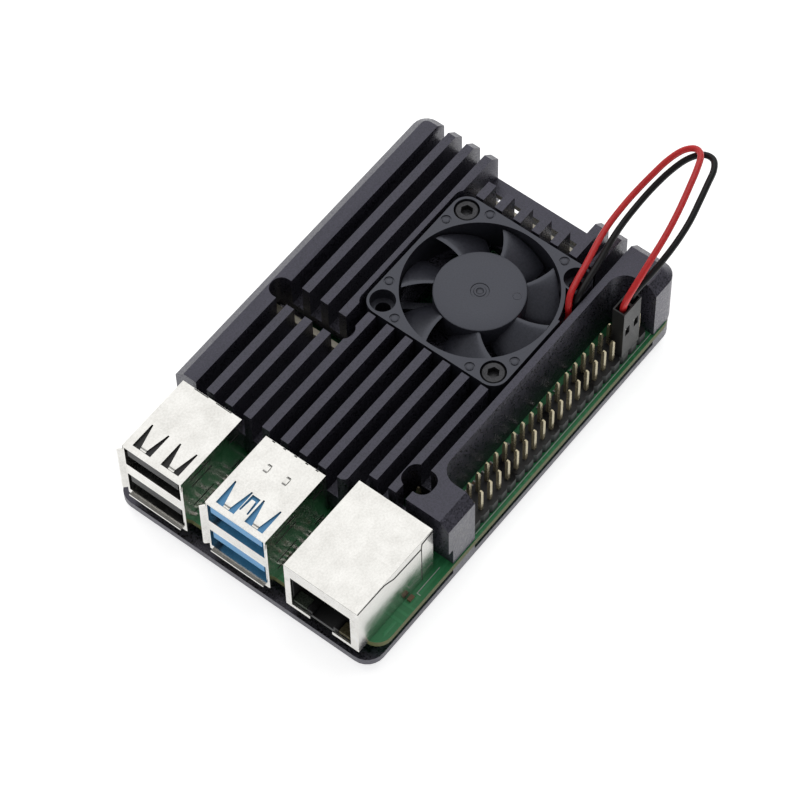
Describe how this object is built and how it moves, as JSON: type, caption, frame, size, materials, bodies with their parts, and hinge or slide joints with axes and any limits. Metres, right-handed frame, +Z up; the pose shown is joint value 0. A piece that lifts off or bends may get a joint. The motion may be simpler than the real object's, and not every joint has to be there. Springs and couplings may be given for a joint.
{
  "type": "single board computer",
  "caption": "Small single board computer in a finned black metal case with a cooling fan on top, its two leads plugged onto the pin header.",
  "frame": {"origin": "middle of the underside of the base plate's box, on the surface it stands on", "axes": "+X along the board towards the USB and network sockets, +Y across the board towards the pin header, +Z up"},
  "size_m": [0.1052, 0.0584, 0.0336],
  "materials": {
    "black_anodised": "black anodised, finely blasted",
    "board_green": "green solder mask over glass fibre board",
    "fan_board_green": "green solder mask",
    "steel": "black oxide",
    "black_plastic": "matt moulded",
    "tin": "tinned, lightly scratched",
    "blue_plastic": "satin moulded",
    "lamp_green": "clear tinted lens",
    "lamp_amber": "clear tinted lens",
    "lamp_red": "clear tinted lens",
    "cream_plastic": "matt moulded",
    "chip_black": "matt moulding compound",
    "grey_pad": "soft filled silicone",
    "fan_plastic": "satin moulded",
    "magnet": "bonded ferrite",
    "brass": "plain",
    "copper": "enamelled wire",
    "red_cable": "soft insulation",
    "black_cable": "soft insulation"
  },
  "bodies": {
    "case": {"heatsink_cover": "black_anodised", "base_plate": "black_anodised", "circuit_board": "board_green", "fan_board": "fan_board_green", "case_screw_1": "steel", "case_screw_2": "steel", "case_screw_3": "steel", "case_screw_4": "steel", "fan_screw_1": "steel", "fan_screw_2": "steel", "pin_header": "black_plastic", "power_over_network_header": "black_plastic", "usb2_core": "black_plastic", "network_core": "black_plastic", "power_socket_tongue": "black_plastic", "video_socket_1_tongue": "black_plastic", "video_socket_2_tongue": "black_plastic", "audio_jack": "black_plastic", "fan_plug": "black_plastic", "usb2_shell": "tin", "usb3_shell": "tin", "network_shell": "tin", "power_socket_shell": "tin", "video_socket_1_shell": "tin", "video_socket_2_shell": "tin", "card_socket": "tin", "radio_shield": "tin", "usb3_core": "blue_plastic", "network_lamp_green": "lamp_green", "activity_lamp": "lamp_green", "network_lamp_amber": "lamp_amber", "power_lamp": "lamp_red", "camera_connector": "cream_plastic", "display_connector": "cream_plastic", "processor": "chip_black", "memory_chip": "chip_black", "usb_chip": "chip_black", "network_chip": "chip_black", "power_chip": "chip_black", "power_coil": "chip_black", "processor_pad": "grey_pad", "memory_pad": "grey_pad", "fan_frame": "fan_plastic", "fan_bearing": "brass", "fan_windings": "copper", "fan_lead_red": "red_cable", "fan_lead_black": "black_cable"},
    "fan_rotor": {"fan_rotor": "fan_plastic", "fan_magnet": "magnet", "fan_shaft": "steel"},
    "memory_card": {"memory_card": "black_plastic"},
    "camera_latch": {"camera_latch": "black_plastic"},
    "display_latch": {"display_latch": "black_plastic"}
  },
  "joints": [
    {"name": "fan_spin", "type": "hinge", "parent": "case", "child": "fan_rotor", "pos_m": [-0.0184, 0.00425, 0.0162], "axis": [0, 0, 1], "continuous": true},
    {"name": "memory_card_slide", "type": "slide", "parent": "case", "child": "memory_card", "axis": [-1, 0, 0], "range_m": [0, 0.0125]},
    {"name": "camera_latch_lift", "type": "slide", "parent": "case", "child": "camera_latch", "axis": [0, 0, 1], "range_m": [0, 0.001]},
    {"name": "display_latch_lift", "type": "slide", "parent": "case", "child": "display_latch", "axis": [0, 0, 1], "range_m": [0, 0.001]}
  ]
}
